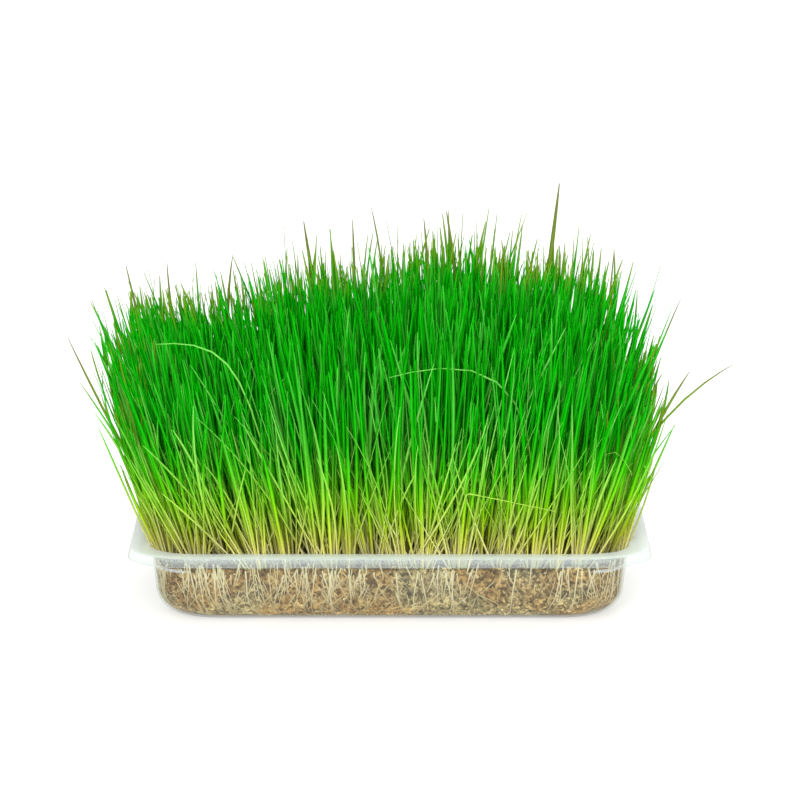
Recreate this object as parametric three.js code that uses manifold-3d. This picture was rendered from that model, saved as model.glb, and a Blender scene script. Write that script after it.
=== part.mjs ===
// Wheatgrass in a shallow clear tray: the tray, the soil that fills it, and bunches of grass.
// Each bunch is a root ball that stands in a plain hole in the soil, with its blades grown from it.
// Millimetres, +Z up. The origin is the centre of the tray's underside, and the front faces -Y.
import * as THREE from "three";
import { mergeVertices } from "three/addons/utils/BufferGeometryUtils.js";
import Module from "manifold-3d";

const { lerp, mapLinear, seededRandom } = THREE.MathUtils;

// Tray
const rimLength = 270;
const rimWidth = 190;
const trayHeight = 37;
const wall = 1;
const flangeWidth = 12;
const lipDrop = 5.1;
const lipFlare = 0.8;
const outerRound = 1.2; // of the flange's outer upper edge
const innerRound = 1.8; // and of the edge where it turns down into the wall
const rimCorner = 32; // corner radius of the flange, seen from above
const bodyCorner = 26; // corner radius of the wall under the flange
const cornerShrink = 0.35; // how much of it is lost with each millimetre further in
const wallDraft = 2.2; // how far the wall leans in on its way down to the bend
const bottomBend = 16; // outer radius between wall and bottom
const bendSteps = 4;
const cornerSteps = 7; // facets in a quarter turn

// Soil
const seatGap = 0.4; // clearance between pieces that rest on each other
const soilEdge = 27; // height at the wall
const soilCrown = 2.5; // rise from the wall to the middle
const soilRelief = 0.7; // height of its lumps
const lumpSpacing = 6;
const soilRings = 5; // rings of points between the wall and the middle

// Bunches, in a grid of columns along X and rows along Y
const columns = 6;
const rows = 4;
const columnPitch = 40;
const rowPitch = 39;
const ballTop = 17.9; // half the side of the square root ball
const ballBottom = 17.2;
const ballDepth = 15;
const ballLevel = soilEdge + soilCrown + 1;
const matInset = 17; // from the rim, for the rounded outline that all the root balls keep within

// Blades
const bladesAcross = 4; // in each direction on a root ball
const bladesPerBunch = bladesAcross ** 2;
const bladePitch = 8.8;
const footStagger = 1.9; // to either side, in turn from row to row
const footJitter = 0.8;
const footMargin = 2.2; // from a foot to the mat's rounded corner
const rootDepth = 6; // how far a foot is sunk in its root ball
const frontDrop = 30; // how much shorter the blades in front are than those in the middle
const backDrop = 8; // and those at the back
const heightSpread = 0.08; // share that heights differ by, up or down
const tallShare = 0.08; // of the blades, which are taller
const tallGain = 0.14;
const fanAlong = 0.25; // lean of a blade at the tray's end, over its height
const fanAcross = 0.22; // and at its long side
const leanLeft = 0.035; // lean of the whole mass
const leanJitter = 0.07;
const bendShare = 0.5; // where a blade's bend lies on its height
const bendLead = 1.2; // how much further it leans there than a straight blade would
const bendJitter = 0.1;
const stemWidth = 1.7;
const bladeBroadening = 4.5;
const stemThickness = 1.7;
const bladeThickness = 1;
const sheathEnd = 0.4; // share of the length where the round stem has become a flat blade
const bladeSteps = 4;
const goldenTurn = Math.PI * (3 - Math.sqrt(5)); // from the face of one blade to the next
const bladeClearance = 0.35;
const clearanceSamples = 32;
const triesPerBlade = 30;
const layoutSeed = 4100;
const seedsPerBlade = 100; // each blade draws from its own run of seeds

// Heights of the blades over their root balls, from the tray's left end at -1 to its right end at 1
const skyline = [
  [-1, 99],
  [-0.85, 118],
  [-0.6, 118],
  [-0.46, 116],
  [-0.36, 131],
  [-0.3, 138],
  [-0.2, 130],
  [0, 136],
  [0.27, 147],
  [0.5, 134],
  [0.67, 137],
  [0.76, 128],
  [0.86, 106],
  [1, 78],
];

// Blades that stand out of the mass: foot on the soil, bend and tip
const strayBlades = [
  { foot: [66, 56], bend: [80, 60, 120], tip: [90, 62, 208] },
  { foot: [-22, 54], bend: [-34, 62, 110], tip: [-46, 66, 187] },
  { foot: [103, 20], bend: [112, 24, 110], tip: [118, 28, 177] },
  { foot: [-104, 50], bend: [-124, 60, 90], tip: [-141, 68, 163] },
  { foot: [107, -16], bend: [128, -20, 96], tip: [178, -24, 125] },
  { foot: [-107, -22], bend: [-134, -30, 70], tip: [-166, -40, 142] },
  { foot: [5, 60], bend: [1, 62, 150], tip: [-10, 62, 195] },
  { foot: [45, 56], bend: [39, 60, 140], tip: [30, 62, 193] },
  { foot: [24, 58], bend: [24, 60, 130], tip: [18, 62, 189] },
  { foot: [108, 10], bend: [128, 6, 100], tip: [152, 0, 156] },
  { foot: [110, -30], bend: [130, -32, 85], tip: [155, -34, 123] },
  { foot: [-18, 60], bend: [-17, 60, 120], tip: [-20, 64, 188] },
  { foot: [-75, 60], bend: [-92, 64, 120], tip: [-84, 66, 168] },
  { foot: [-92, 56], bend: [-116, 64, 110], tip: [-119, 66, 165] },
  { foot: [72, -72], bend: [83, -100, 155], tip: [0, -104, 132] },
  { foot: [-50, -70], bend: [-74, -97, 152], tip: [-118, -98, 148] },
  { foot: [28, -70], bend: [39, -100, 72], tip: [84, -103, 63] },
];

const wasm = await Module();
wasm.setup();

// A closed three.js geometry as a solid for joins and cuts
function solidOf(geometry) {
  const bare = geometry.clone();
  bare.deleteAttribute("normal");
  bare.deleteAttribute("uv");
  const merged = mergeVertices(bare, 1e-3);
  return new wasm.Manifold(
    new wasm.Mesh({
      numProp: 3,
      vertProperties: merged.getAttribute("position").array,
      triVerts: new Uint32Array(merged.index.array),
    }),
  );
}

// A solid back as a three.js geometry
function geometryOf(solid) {
  const mesh = solid.getMesh();
  const geometry = new THREE.BufferGeometry();
  geometry.setAttribute("position", new THREE.BufferAttribute(mesh.vertProperties, 3));
  geometry.setIndex(new THREE.BufferAttribute(mesh.triVerts, 1));
  geometry.computeVertexNormals();
  return geometry;
}

function namedMesh(name, geometry, finish) {
  const mesh = new THREE.Mesh(geometry, new THREE.MeshStandardMaterial(finish));
  mesh.name = name;
  return mesh;
}

// Inset of the outer wall from the rim at a height above the bottom bend
const wallInset = (z) => flangeWidth + (wallDraft * (trayHeight - z)) / (trayHeight - bottomBend);

// Corner radius at an inset: the flange's own corner eases into the wall's, which then narrows
function cornerAt(inset) {
  if (inset < flangeWidth) return lerp(rimCorner, bodyCorner, inset / flangeWidth);
  return bodyCorner - cornerShrink * (inset - flangeWidth);
}

const profilePoint = (inset, z) => ({ inset, z, corner: cornerAt(inset) });
const centrePoint = (z) => ({ inset: 0, z, corner: 0 });

// Points of the bend between wall and bottom, from the bottom up, on a skin this far inside the outer one
function bottomBendPoints(skin) {
  const radius = bottomBend - skin;
  const centreInset = flangeWidth + wallDraft + bottomBend;
  return Array.from({ length: bendSteps + 1 }, (_, i) => {
    const angle = (i / bendSteps) * (Math.PI / 2);
    const inset = centreInset - radius * Math.sin(angle);
    return profilePoint(inset, bottomBend - radius * Math.cos(angle));
  });
}

// A turning pulled out into a rounded rectangle: each profile point has its own corner radius,
// and its straight sides run at its own inset from the rim. A corner radius of 0 is the centre.
function roundedTurning(profile) {
  const facets = 4 * cornerSteps;
  const halfFacet = Math.PI / facets;
  const outline = profile.map((p) => new THREE.Vector2(p.corner / Math.cos(halfFacet), p.z));
  const geometry = new THREE.LatheGeometry(outline, facets, halfFacet);
  geometry.rotateX(Math.PI / 2);
  const place = geometry.getAttribute("position");
  for (let i = 0; i < place.count; i++) {
    const { inset, corner } = profile[i % profile.length];
    if (corner === 0) continue;
    const x = place.getX(i);
    const y = place.getY(i);
    place.setX(i, x + Math.sign(x) * (rimLength / 2 - inset - corner));
    place.setY(i, y + Math.sign(y) * (rimWidth / 2 - inset - corner));
  }
  return geometry;
}

// One skin of even thickness: bottom, bend, wall, flange and turned-down lip, and back inside
function trayGeometry() {
  const underFlange = trayHeight - wall;
  const lipEnd = trayHeight - lipDrop;
  const innerFace = flangeWidth + wall;
  const arcMiddle = 1 - Math.SQRT1_2; // share of a quarter arc's radius at its middle, from either side
  return roundedTurning([
    centrePoint(0),
    ...bottomBendPoints(0),
    profilePoint(flangeWidth, underFlange),
    profilePoint(lipFlare + wall, underFlange),
    profilePoint(wall, lipEnd),
    profilePoint(0, lipEnd),
    profilePoint(lipFlare, trayHeight - outerRound),
    profilePoint(lipFlare + outerRound * arcMiddle, trayHeight - outerRound * arcMiddle),
    profilePoint(lipFlare + outerRound, trayHeight),
    profilePoint(innerFace - innerRound, trayHeight),
    profilePoint(innerFace - innerRound * arcMiddle, trayHeight - innerRound * arcMiddle),
    profilePoint(innerFace, trayHeight - innerRound),
    ...bottomBendPoints(wall).reverse(),
    centrePoint(wall),
  ]);
}

// Lumps on the soil's top, a sum of waves across it
function lumpHeight(x, y) {
  const fine = Math.sin(x / lumpSpacing + 1.3 * Math.cos(y / lumpSpacing));
  const broad = Math.cos(y / (1.7 * lumpSpacing) - x / (2.3 * lumpSpacing));
  return 0.5 * soilRelief * (fine + broad);
}

// The soil fills the tray to just under its rim, crowned and lumpy on top, with a hole for each root ball
function soilGeometry(holes) {
  const skin = wall + seatGap;
  const edgeInset = wallInset(soilEdge) + skin;
  const middleInset = rimWidth / 2 - 1;
  const below = [centrePoint(skin), ...bottomBendPoints(skin), profilePoint(edgeInset, soilEdge)];
  const top = Array.from({ length: soilRings }, (_, i) => {
    const share = (i + 1) / (soilRings + 1);
    const inset = lerp(edgeInset, middleInset, share);
    const corner = bodyCorner * (1 - share);
    return { inset, z: soilEdge + soilCrown * Math.sqrt(share), corner };
  });
  const profile = [...below, ...top, centrePoint(soilEdge + soilCrown)];
  const geometry = roundedTurning(profile);
  const place = geometry.getAttribute("position");
  for (let i = 0; i < place.count; i++) {
    if (i % profile.length < below.length) continue;
    place.setZ(i, place.getZ(i) + lumpHeight(place.getX(i), place.getY(i)));
  }
  return geometryOf(solidOf(geometry).subtract(wasm.Manifold.union(holes)));
}

// A root ball, or with a clearance the hole that it stands in. Those at the tray's corners are rounded off.
function rootBall(centre, clearance) {
  const depth = ballDepth + clearance;
  const toCorner = Math.SQRT2;
  const block = new THREE.CylinderGeometry(
    (ballTop + clearance) * toCorner,
    (ballBottom + clearance) * toCorner,
    depth,
    4,
    1,
    false,
    Math.PI / 4,
  );
  block.rotateX(Math.PI / 2);
  block.translate(centre.x, centre.y, ballLevel - depth / 2);
  const inset = matInset - clearance;
  const mat = roundedTurning([
    centrePoint(0),
    profilePoint(inset, 0),
    profilePoint(inset, trayHeight),
    centrePoint(trayHeight),
  ]);
  return solidOf(block).intersect(solidOf(mat));
}

// Whether a foot is clear of the mat's rounded corners
function isOnMat(x, y) {
  const corner = cornerAt(matInset);
  const beyondX = Math.abs(x) - (rimLength / 2 - matInset - corner);
  const beyondY = Math.abs(y) - (rimWidth / 2 - matInset - corner);
  return Math.hypot(Math.max(0, beyondX), Math.max(0, beyondY)) < corner - footMargin;
}

// Full width of a blade along its length: a slim stem, a broad middle and a point
const widthAt = (t) => (stemWidth + bladeBroadening * t) * (1 - t ** 3);
const thicknessAt = (t) => lerp(stemThickness, bladeThickness, Math.min(1, t / sheathEnd)) * (1 - t ** 6);

// A blade's line, from its sunk foot over its bend to its tip
function bladeLine(foot, bend, tip) {
  return new THREE.QuadraticBezierCurve3(
    new THREE.Vector3(foot.x, foot.y, ballLevel - rootDepth),
    new THREE.Vector3(...bend),
    new THREE.Vector3(...tip),
  );
}

function skylineAt(along) {
  const next = skyline.findIndex(([place]) => place > along);
  const [before, beforeHeight] = skyline[next - 1];
  const [after, afterHeight] = skyline[next];
  return mapLinear(along, before, after, beforeHeight, afterHeight);
}

// The line of a blade that stands in the mass, fanned outwards and then rising more steeply
function massLine(centre, index, seed) {
  const draw = () => 2 * seededRandom() - 1;
  seededRandom(seed);
  const middle = (bladesAcross - 1) / 2;
  const rank = Math.floor(index / bladesAcross);
  const stagger = rank % 2 === 0 ? footStagger : -footStagger;
  const x = centre.x + bladePitch * ((index % bladesAcross) - middle) + stagger + footJitter * draw();
  const y = centre.y + bladePitch * (rank - middle) + footJitter * draw();
  const along = (2 * x) / (columns * columnPitch);
  const across = (2 * y) / (rows * rowPitch);
  const drop = (across < 0 ? frontDrop : backDrop) * across ** 2;
  const gain = seededRandom() < tallShare ? tallGain : heightSpread * draw();
  const height = (skylineAt(along) - drop) * (1 + gain);
  const leanX = height * (fanAlong * along - leanLeft + leanJitter * draw());
  const leanY = height * (fanAcross * across + leanJitter * draw());
  const bendLean = bendShare * (bendLead + bendJitter * draw());
  return bladeLine(
    { x, y },
    [x + leanX * bendLean, y + leanY * bendLean, ballLevel + height * bendShare],
    [x + leanX, y + leanY, ballLevel + height],
  );
}

// Points along a blade's line with its half width there, to keep blades clear of each other
function clearancePoints(line) {
  return Array.from({ length: clearanceSamples + 1 }, (_, i) => {
    const t = i / clearanceSamples;
    return { at: line.getPoint(t), reach: widthAt(t) / 2 };
  });
}

const isClear = (points, others) =>
  others.every((other) =>
    points.every((p) => other.every((o) => p.at.distanceTo(o.at) > p.reach + o.reach + bladeClearance)),
  );

// A three-sided blade on its line: a slim cone, reshaped to the blade's sections and bent to the line.
// The cone's section is an equal-sided triangle, a root of three wide and one and a half deep.
function bladeSolid(line, turn) {
  const geometry = new THREE.ConeGeometry(1, 1, 3, bladeSteps);
  const place = geometry.getAttribute("position");
  const facing = new THREE.Vector3(Math.cos(turn), Math.sin(turn), 0);
  for (let i = 0; i < place.count; i++) {
    const t = place.getY(i) + 0.5;
    const coneRadius = t < 1 ? 1 - t : 1;
    const tangent = line.getTangent(t);
    const side = facing.clone().addScaledVector(tangent, -facing.dot(tangent)).normalize();
    const front = new THREE.Vector3().crossVectors(side, tangent);
    const across = ((place.getX(i) / coneRadius) * widthAt(t)) / Math.sqrt(3);
    const through = ((place.getZ(i) / coneRadius) * thicknessAt(t)) / 1.5;
    const point = line.getPoint(t).addScaledVector(side, across).addScaledVector(front, through);
    place.setXYZ(i, point.x, point.y, point.z);
  }
  return solidOf(geometry);
}

const bunchCentres = [];
for (let row = 0; row < rows; row++) {
  for (let column = 0; column < columns; column++) {
    const x = (column - (columns - 1) / 2) * columnPitch;
    const y = (row - (rows - 1) / 2) * rowPitch;
    bunchCentres.push(new THREE.Vector2(x, y));
  }
}

function nearestBunch(foot) {
  const distances = bunchCentres.map((centre) => centre.distanceTo(foot));
  return distances.indexOf(Math.min(...distances));
}

// Every blade's line, by bunch. The strays come first, and each later blade is drawn again until
// it stands clear of those before it. A place with no clear line stays empty.
function grassLines() {
  const bunches = bunchCentres.map(() => []);
  const taken = [];
  const keep = (bunch, line, points) => {
    bunches[bunch].push(line);
    taken.push(points);
  };
  for (const { foot, bend, tip } of strayBlades) {
    const at = new THREE.Vector2(...foot);
    const line = bladeLine(at, bend, tip);
    keep(nearestBunch(at), line, clearancePoints(line));
  }
  bunchCentres.forEach((centre, bunch) => {
    for (let index = 0; index < bladesPerBunch; index++) {
      const firstSeed = layoutSeed + seedsPerBlade * (bunch * bladesPerBunch + index);
      for (let attempt = 0; attempt < triesPerBlade; attempt++) {
        const line = massLine(centre, index, firstSeed + attempt);
        const points = clearancePoints(line);
        if (!isOnMat(line.v0.x, line.v0.y) || !isClear(points, taken)) continue;
        keep(bunch, line, points);
        break;
      }
    }
  });
  return bunches;
}

const clearPlastic = { color: 0xe9f0ec, roughness: 0.15, metalness: 0, transparent: true, opacity: 0.35 };
const moistSoil = { color: 0x7d6347, roughness: 0.95, metalness: 0 };
const freshGreen = { color: 0x2f9e1c, roughness: 0.5, metalness: 0 };

const wheatgrassTray = new THREE.Group();
wheatgrassTray.add(namedMesh("tray", trayGeometry(), clearPlastic));

const holes = bunchCentres.map((centre) => rootBall(centre, seatGap));
wheatgrassTray.add(namedMesh("soil", soilGeometry(holes), moistSoil));

grassLines().forEach((lines, bunch) => {
  const blades = lines.map((line, i) => bladeSolid(line, (i + bunch) * goldenTurn));
  const grown = wasm.Manifold.union([rootBall(bunchCentres[bunch], 0), ...blades]);
  const name = `grass_bunch_${String(bunch + 1).padStart(2, "0")}`;
  wheatgrassTray.add(namedMesh(name, geometryOf(grown), freshGreen));
});

export default wheatgrassTray;
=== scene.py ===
import math

import bmesh
import bpy
import numpy as np
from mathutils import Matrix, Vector, noise


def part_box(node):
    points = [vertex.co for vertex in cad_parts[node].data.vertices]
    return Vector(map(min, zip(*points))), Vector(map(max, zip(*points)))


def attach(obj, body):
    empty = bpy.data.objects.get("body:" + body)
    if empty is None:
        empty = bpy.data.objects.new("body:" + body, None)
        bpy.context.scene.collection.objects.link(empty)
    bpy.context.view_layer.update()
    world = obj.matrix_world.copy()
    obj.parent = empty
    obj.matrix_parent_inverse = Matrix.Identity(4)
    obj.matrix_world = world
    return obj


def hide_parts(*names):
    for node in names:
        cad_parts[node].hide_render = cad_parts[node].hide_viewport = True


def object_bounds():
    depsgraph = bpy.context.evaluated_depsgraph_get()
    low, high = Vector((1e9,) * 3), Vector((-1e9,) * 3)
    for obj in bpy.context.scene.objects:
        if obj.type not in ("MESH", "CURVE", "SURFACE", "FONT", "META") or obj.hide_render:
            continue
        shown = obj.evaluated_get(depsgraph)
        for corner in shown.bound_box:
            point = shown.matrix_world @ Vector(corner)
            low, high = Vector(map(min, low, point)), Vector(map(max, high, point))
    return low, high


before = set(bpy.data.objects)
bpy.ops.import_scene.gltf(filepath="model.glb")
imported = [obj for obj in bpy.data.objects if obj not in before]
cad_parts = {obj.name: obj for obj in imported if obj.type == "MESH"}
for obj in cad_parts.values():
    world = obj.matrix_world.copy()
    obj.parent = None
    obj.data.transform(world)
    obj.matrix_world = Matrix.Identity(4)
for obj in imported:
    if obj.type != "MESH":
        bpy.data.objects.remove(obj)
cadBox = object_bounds()
mm = 0.001  # lengths below are in millimetres, and meshes are scaled by this as they are made


# Shader nodes, written as Python sums

class Flow:  # one shader socket
    def __init__(self, finish, socket):
        self.finish = finish
        self.socket = socket

    def out(self, name):  # another output of the same node
        return Flow(self.finish, self.socket.node.outputs[name])

    def maths(self, operation, a, b=0.0):
        return self.finish.node("Math", {"operation": operation}, {0: a, 1: b})

    def __add__(self, other):
        return self.maths("ADD", self, other)

    def __radd__(self, other):
        return self.maths("ADD", other, self)

    def __sub__(self, other):
        return self.maths("SUBTRACT", self, other)

    def __rsub__(self, other):
        return self.maths("SUBTRACT", other, self)

    def __mul__(self, other):
        return self.maths("MULTIPLY", self, other)

    def __rmul__(self, other):
        return self.maths("MULTIPLY", other, self)

    def __pow__(self, other):
        return self.maths("POWER", self, other)

    def sine(self):
        return self.maths("SINE", self)

    def between(self, low, high):  # 0 up to low, 1 from high on, smooth between them
        steps = {"interpolation_type": "SMOOTHSTEP"}
        return self.finish.node("MapRange", steps, {"Value": self, "From Min": low, "From Max": high})


class Finish:  # a material with its nodes
    def __init__(self, name):
        self.material = bpy.data.materials.new(name)
        self.material.use_nodes = True
        self.tree = self.material.node_tree
        self.tree.nodes.clear()

    def node(self, kind, settings=None, sockets=None, output=0):
        made = self.tree.nodes.new("ShaderNode" + kind)
        for name, value in (settings or {}).items():
            if name == "stops":
                self.setStops(made.color_ramp, value)
            else:
                setattr(made, name, value)
        for name, value in (sockets or {}).items():
            if isinstance(value, Flow):
                self.tree.links.new(value.socket, made.inputs[name])
            else:
                made.inputs[name].default_value = value
        return Flow(self, made.outputs[output]) if made.outputs else None

    def setStops(self, ramp, stops):  # stops: place on the ramp to colour
        while len(ramp.elements) < len(stops):
            ramp.elements.new(1.0)
        for element, (place, code) in zip(ramp.elements, sorted(stops.items())):
            element.position = place
            element.color = colour(code)

    def value(self, name):  # a number that the mesh holds at its points
        return self.node("Attribute", {"attribute_name": name}, output="Fac")

    def ramp(self, stops, factor):
        return self.node("ValToRGB", {"stops": stops}, {"Fac": factor})

    def mix(self, factor, a, b, how="MIX"):  # of two colours
        settings = {"data_type": "RGBA", "blend_type": how}
        return self.node("Mix", settings, {0: factor, 6: a, 7: b}, output=2)

    def noise(self, place, scale, detail, output=0):
        return self.node("TexNoise", {}, {"Vector": place, "Scale": scale, "Detail": detail}, output)

    def through(self, code):  # a shader for light of one colour through a thin sheet
        return self.node("BsdfTranslucent", {}, {"Color": colour(code)})

    def show(self, shader):
        self.node("OutputMaterial", {}, {"Surface": shader})


def colour(code):  # screen colour, as in 7fa032, to linear
    screen = [int(code[i:i + 2], 16) / 255 for i in (0, 2, 4)]
    return tuple(c / 12.92 if c <= 0.04045 else ((c + 0.055) / 1.055) ** 2.4 for c in screen) + (1.0,)


# Meshes

def makePiece(name, points, faces, finish, replaces=(), smooth=True):
    mesh = bpy.data.meshes.new(name)
    mesh.from_pydata((np.asarray(points) * mm).tolist(), [], faces)
    mesh.polygons.foreach_set("use_smooth", [smooth] * len(mesh.polygons))
    mesh.materials.append(finish.material)
    piece = bpy.data.objects.new(name, mesh)
    bpy.context.scene.collection.objects.link(piece)
    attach(piece, "root")
    if replaces:
        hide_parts(*replaces)
    return piece


def holdValues(piece, name, values):
    held = piece.data.attributes.new(name, "FLOAT", "POINT")
    held.data.foreach_set("value", np.asarray(values, np.float32).ravel())


picture = {  # shares of the space that each solid or strand has on the finished part's picture
    "margin": 0.1,
    "capHeight": 0.02,  # of a strand's closed ends
    "lowCap": 0.03,
    "highCap": 0.96,
}


def holdMap(piece, corners):  # where each face's corners lie on that picture
    layer = piece.data.uv_layers.new(name="OFBake")
    layer.data.foreach_set("uv", np.asarray(corners, np.float32).ravel())


def unit(vectors):
    return vectors / np.maximum(np.linalg.norm(vectors, axis=-1, keepdims=True), 1e-9)


def ramped(values, low, high):  # 0 up to low, 1 from high on, even between them
    return np.clip((values - low) / (high - low), 0, 1)


# The tray: a thin clear skin, whose outline the soil follows inside it

tray = {
    "wall": 1.0,
    "flange": 12.0,
    "lipDrop": 5.1,
    "lipFlare": 0.8,
    "lipEdge": 0.2,  # rounding of the lip's lower edge
    "underRound": 0.4,  # and under the flange where the lip turns down
    "outerRound": 1.2,
    "innerRound": 1.8,
    "rimCorner": 32.0,
    "bodyCorner": 26.0,
    "cornerShrink": 0.35,  # how much the body's corner radius loses for each millimetre further in
    "draft": 2.2,  # how far the wall leans in on its way down to the bend
    "bend": 16.0,  # between wall and bottom
    "shoulder": 1.2,  # step in each corner that keeps stacked trays apart
    "shoulderHeight": 27.0,
    "shoulderRise": 1.8,
    "shoulderStart": 4.0,  # from the flange's middle inwards, where it is in full
    "shoulderSteps": 4,
    "shoulderMargin": 1.0,  # from it to the next rings
    "lowLevels": (17.0, 21.0),  # heights of the wall's rings under the shoulder
    "highLevels": (32.0, 34.5),  # and over it
    "bendSteps": 10,
    "outerSteps": 5,
    "innerSteps": 6,
    "around": 480,  # points in each ring
    "haze": 0.006,  # how milky each face of the wall is
    "lipHaze": 0.095,
    "rimPaintedHighlight": 0.005,  # painted highlight: milk on the round edge over the lip
    "flangeHaze": 0.8,
    # painted highlight: a milky band on the corner shoulders, where a reflection streak would be
    "shoulderPaintedHighlight": 0.25,
    # painted light: milk over the bottom, lighter than the shade there
    "bottomLightHaze": 0.22,
    "edgeHaze": 0.04,  # where a face is seen at a slant
    "hazeFalloff": 3,
    "lipFade": 1.0,  # heights over which the haze changes
    "shoulderFade": 0.4,
    "bottomFade": 2.5,
    "rimTilt": (0.3, 0.7),  # how far upward a face looks where each haze starts and is full
    "flangeTilt": (0.85, 0.99),
    "shoulderTilt": (0.04, 0.2),  # squared, as its underside counts too
    "tint": "f4f7f5",
    "milk": "dee1e3",
    "paintedBottomLight": "a89879",  # painted light: soil-coloured milk over the bottom, lighter than the shade there
    "milkRoughness": 0.5,
    "waveScale": 60.0,
    "waveStrength": 0.25,
    "waveDepth": 0.8,
    "gloss": 0.01,
    "edgeGloss": 0.25,
    "glossFalloff": 5,
    "glossRoughness": 0.22,
}
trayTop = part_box("tray")[1]
rimHalf = np.array([trayTop.x, trayTop.y]) / mm
rimHeight = trayTop.z / mm
lipEnd = rimHeight - tray["lipDrop"]
bendInset = tray["flange"] + tray["draft"] + tray["bend"]  # where the bend's centre is
shoulderLow = tray["shoulderHeight"] - tray["shoulderRise"] / 2
shoulderTop = tray["shoulderHeight"] + tray["shoulderRise"] / 2


def cornerAt(inset):  # corner radius at an inset from the rim
    onFlange = np.clip(np.divide(inset, tray["flange"]), 0, 1)
    corner = tray["rimCorner"] + (tray["bodyCorner"] - tray["rimCorner"]) * onFlange
    return np.maximum(corner - tray["cornerShrink"] * np.maximum(inset - tray["flange"], 0), 1.0)


def wallInset(z):
    return tray["flange"] + tray["draft"] * (rimHeight - z) / (rimHeight - tray["bend"])


def insideInset(z, skin):  # of a surface this far inside the tray's outer one, at any height
    radius = tray["bend"] - skin
    drop = np.maximum(tray["bend"] - z, 0)
    onBend = bendInset - np.sqrt(np.maximum(radius ** 2 - drop ** 2, 0))
    return np.where(drop > 0, onBend, wallInset(z) + skin)


def arc(centre, radius, start, end, steps):  # of profile points (inset, z), angles in degrees
    angles = np.radians(np.linspace(start, end, steps + 1))
    return [(centre[0] + radius * math.cos(a), centre[1] + radius * math.sin(a)) for a in angles]


def bendArc(skin, steps):
    return arc((bendInset, tray["bend"]), tray["bend"] - skin, 270, 180, steps)


straightHalf = rimHalf - tray["flange"] - tray["bodyCorner"]  # from the middle to the corners' centres
cornerLength = math.pi / 2 * tray["bodyCorner"]
roundParts = [cornerLength, 2 * straightHalf[0], cornerLength, 2 * straightHalf[1]] * 2
wayRound = np.concatenate([[0], np.cumsum(roundParts)])
roundLength = wayRound[-1]


def ringFrame(shares):  # shares of the way round: which corner's centre is nearest, and the way out
    far = np.asarray(shares) % 1 * roundLength
    angle = np.interp(far, wayRound, np.array([0, 1, 1, 2, 2, 3, 3, 4, 4]) * math.pi / 2)
    centreX = np.interp(far, wayRound, [1, 1, -1, -1, -1, -1, 1, 1, 1])
    centreY = np.interp(far, wayRound, [1, 1, 1, 1, -1, -1, -1, -1, 1])
    return np.stack([centreX, centreY], -1), np.stack([np.cos(angle), np.sin(angle)], -1)


def ringPlaces(shares, inset, z):
    centre, way = ringFrame(shares)
    inset = np.broadcast_to(np.asarray(inset, float), np.shape(shares))[..., None]
    height = np.broadcast_to(np.asarray(z, float), np.shape(shares))[..., None]
    corner = cornerAt(inset)
    return np.concatenate([centre * (rimHalf - inset - corner) + way * corner, height], -1)


def skinFaces(ringCount, pointCount):  # between rings of points, with the first and last ring closed
    faces = [list(range(pointCount))[::-1]]
    for ring in range(ringCount - 1):
        low = ring * pointCount
        for k in range(pointCount):
            after = (k + 1) % pointCount
            faces.append([low + k, low + after, low + pointCount + after, low + pointCount + k])
    last = (ringCount - 1) * pointCount
    faces.append([last + k for k in range(pointCount)])
    return faces


def trayFinish():
    clear = Finish("clearTray")
    place = clear.node("TexCoord", output="Object")
    height = clear.node("SeparateXYZ", {}, {"Vector": place}, output="Z")
    normal = clear.node("NewGeometry", output="Normal")
    upward = clear.node("SeparateXYZ", {}, {"Vector": normal}, output="Z")
    facing = clear.node("LayerWeight", {}, {"Blend": 0.5}, output="Facing")
    onLip = height.between((lipEnd - tray["lipFade"]) * mm, lipEnd * mm)
    # painted highlight along the round edge over the lip, made as a band of milk
    rimHighlightMask = upward.between(*tray["rimTilt"]) * onLip
    onFlange = upward.between(*tray["flangeTilt"]) * onLip
    overShoulder = height.between((shoulderLow - tray["shoulderFade"]) * mm, shoulderLow * mm)
    underShoulder = 1 - height.between(shoulderTop * mm, (shoulderTop + tray["shoulderFade"]) * mm)
    # painted highlight on the step of the corner shoulders, made as a band of milk
    onShoulder = (upward * upward).between(*tray["shoulderTilt"]) * overShoulder * underShoulder
    # painted light: towards the bottom the milk turns soil-coloured and thicker, lighter than the shade
    # under the bend
    bottomLightMask = 1 - height.between(0.0, tray["bottomFade"] * mm)
    haze = tray["haze"] + onLip * tray["lipHaze"] + rimHighlightMask * tray["rimPaintedHighlight"]
    haze = haze + onFlange * (tray["flangeHaze"] - tray["rimPaintedHighlight"]) + onShoulder * tray["shoulderPaintedHighlight"]
    haze = haze + bottomLightMask * tray["bottomLightHaze"]
    haze = haze + facing ** tray["hazeFalloff"] * tray["edgeHaze"] * (1 - onLip)
    waves = clear.noise(place, tray["waveScale"], 1.0)
    depth = {"Strength": tray["waveStrength"], "Distance": tray["waveDepth"] * mm}
    wavy = clear.node("Bump", {}, {**depth, "Height": waves})
    through = clear.node("BsdfTransparent", {}, {"Color": colour(tray["tint"])})
    shade = clear.mix(bottomLightMask, colour(tray["milk"]), colour(tray["paintedBottomLight"]))
    matte = {"Roughness": tray["milkRoughness"], "Normal": wavy}
    milk = clear.node("BsdfPrincipled", {}, {"Base Color": shade, **matte})
    shine = {"Roughness": tray["glossRoughness"], "Normal": wavy}
    gloss = clear.node("BsdfGlossy", {}, {"Color": (1, 1, 1, 1), **shine})
    body = clear.node("MixShader", {}, {0: haze, 1: through, 2: milk})
    glossy = tray["gloss"] + tray["edgeGloss"] * facing ** tray["glossFalloff"]
    clear.show(clear.node("MixShader", {}, {0: glossy, 1: body, 2: gloss}))
    return clear


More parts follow.
